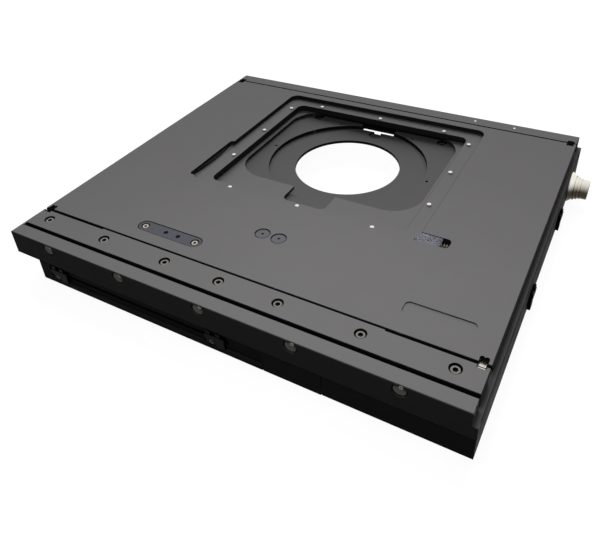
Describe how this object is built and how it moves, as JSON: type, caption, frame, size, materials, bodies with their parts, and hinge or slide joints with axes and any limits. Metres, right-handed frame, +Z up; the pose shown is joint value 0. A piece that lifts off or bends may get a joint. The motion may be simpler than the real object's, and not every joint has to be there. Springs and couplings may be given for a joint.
{
  "type": "motorized xy stage",
  "caption": "Low black-anodised microscope stage whose top plate, with a stepped sample opening, slides left and right on a carriage that slides front to back over a fixed base.",
  "frame": {"origin": "under the middle of the whole stage, at the underside of the base", "axes": "+X to the right along the front bar, +Y to the back, +Z up"},
  "size_m": [0.3314, 0.2888, 0.0335],
  "materials": {
    "black_anodised": "bead-blasted, black anodised, satin",
    "base_anodised": "black anodised, satin",
    "housing_black": "black anodised, dark satin",
    "fitting_grey": "blue-grey anodised, satin",
    "rail_steel": "ground and hardened",
    "cage_plastic": "moulded",
    "roller_steel": "polished",
    "screw_steel": "plain stainless",
    "screw_black": "black oxide",
    "pin_steel": "polished",
    "stop_black": "blue-black anodised",
    "spring_steel": "tempered",
    "magnet_nickel": "nickel plated",
    "yoke_steel": "blackened mild steel",
    "coil_resin": "cast resin",
    "scale_glass": "etched steel tape",
    "head_plastic": "moulded",
    "connector_nickel": "nickel plated, turned",
    "connector_plastic": "moulded",
    "contact_brass": "gold flashed"
  },
  "bodies": {
    "base": {"base_plate": "base_anodised", "base_rail_left": "rail_steel", "base_rail_right": "rail_steel", "y_yoke": "yoke_steel", "y_magnets": "magnet_nickel", "y_scale": "scale_glass"},
    "y_carriage": {"carriage_frame": "black_anodised", "front_strip": "black_anodised", "back_strip": "black_anodised", "strip_screws": "screw_steel", "back_strip_dowels": "pin_steel", "preload_screws": "screw_black", "carriage_rail_left": "rail_steel", "carriage_rail_right": "rail_steel", "strip_rail_front": "rail_steel", "strip_rail_back": "rail_steel", "x_coil": "coil_resin", "x_read_head": "head_plastic", "y_coil": "coil_resin", "y_read_head": "head_plastic", "lower_housing": "housing_black", "access_cover": "housing_black", "x_stop_rail": "housing_black", "y_stop_rail": "housing_black", "connector_shell": "connector_nickel", "connector_insert": "connector_plastic", "connector_pins": "contact_brass"},
    "x_carriage": {"top_plate": "black_anodised", "plate_rail_front": "rail_steel", "plate_rail_back": "rail_steel", "x_yoke": "yoke_steel", "x_magnets": "magnet_nickel", "x_scale": "scale_glass", "levelling_screws": "pin_steel", "accessory_plate": "fitting_grey", "accessory_screws": "screw_steel", "hole_plugs": "fitting_grey", "leaf_spring": "spring_steel", "clamp_spring": "spring_steel"},
    "insert_clamp": {"clamp_block": "fitting_grey", "clamp_screw": "screw_black"},
    "y_cage_left": {"y_cage_left_strip": "cage_plastic", "y_cage_left_rollers": "roller_steel"},
    "y_cage_right": {"y_cage_right_strip": "cage_plastic", "y_cage_right_rollers": "roller_steel"},
    "x_cage_front": {"x_cage_front_strip": "cage_plastic", "x_cage_front_rollers": "roller_steel"},
    "x_cage_back": {"x_cage_back_strip": "cage_plastic", "x_cage_back_rollers": "roller_steel"},
    "x_stop_left": {"x_stop_left": "stop_black", "x_stop_left_screw": "screw_steel"},
    "x_stop_right": {"x_stop_right": "stop_black", "x_stop_right_screw": "screw_steel"},
    "y_stop_front": {"y_stop_front": "stop_black", "y_stop_front_screw": "screw_steel"},
    "y_stop_back": {"y_stop_back": "stop_black", "y_stop_back_screw": "screw_steel"}
  },
  "joints": [
    {"name": "y_slide", "type": "slide", "parent": "base", "child": "y_carriage", "axis": [0, 1, 0], "range_m": [-0.031, 0.044]},
    {"name": "x_slide", "type": "slide", "parent": "y_carriage", "child": "x_carriage", "axis": [1, 0, 0], "range_m": [-0.057, 0.057]},
    {"name": "y_cage_left_roll", "type": "slide", "parent": "base", "child": "y_cage_left", "axis": [0, 1, 0], "range_m": [-0.016, 0.0225]},
    {"name": "y_cage_right_roll", "type": "slide", "parent": "base", "child": "y_cage_right", "axis": [0, 1, 0], "range_m": [-0.016, 0.0225]},
    {"name": "x_cage_front_roll", "type": "slide", "parent": "y_carriage", "child": "x_cage_front", "axis": [1, 0, 0], "range_m": [-0.029, 0.029]},
    {"name": "x_cage_back_roll", "type": "slide", "parent": "y_carriage", "child": "x_cage_back", "axis": [1, 0, 0], "range_m": [-0.029, 0.029]},
    {"name": "clamp_slide", "type": "slide", "parent": "x_carriage", "child": "insert_clamp", "axis": [1, 0, 0], "range_m": [0, 0.004], "stiffness_N_per_m": 400, "springref_m": -0.003, "deforming": ["clamp_spring"]},
    {"name": "x_stop_left_set", "type": "slide", "parent": "y_carriage", "child": "x_stop_left", "axis": [1, 0, 0], "range_m": [-0.0012, 0.05]},
    {"name": "x_stop_right_set", "type": "slide", "parent": "y_carriage", "child": "x_stop_right", "axis": [1, 0, 0], "range_m": [-0.05, 0.0012]},
    {"name": "y_stop_front_set", "type": "slide", "parent": "y_carriage", "child": "y_stop_front", "axis": [0, 1, 0], "range_m": [-0.05, 0.035]},
    {"name": "y_stop_back_set", "type": "slide", "parent": "y_carriage", "child": "y_stop_back", "axis": [0, 1, 0], "range_m": [-0.035, 0.021]}
  ],
  "couplings": [
    {"joint": "y_cage_left_roll", "follows": "y_slide", "ratio": 0.5},
    {"joint": "y_cage_right_roll", "follows": "y_slide", "ratio": 0.5},
    {"joint": "x_cage_front_roll", "follows": "x_slide", "ratio": 0.5},
    {"joint": "x_cage_back_roll", "follows": "x_slide", "ratio": 0.5}
  ]
}
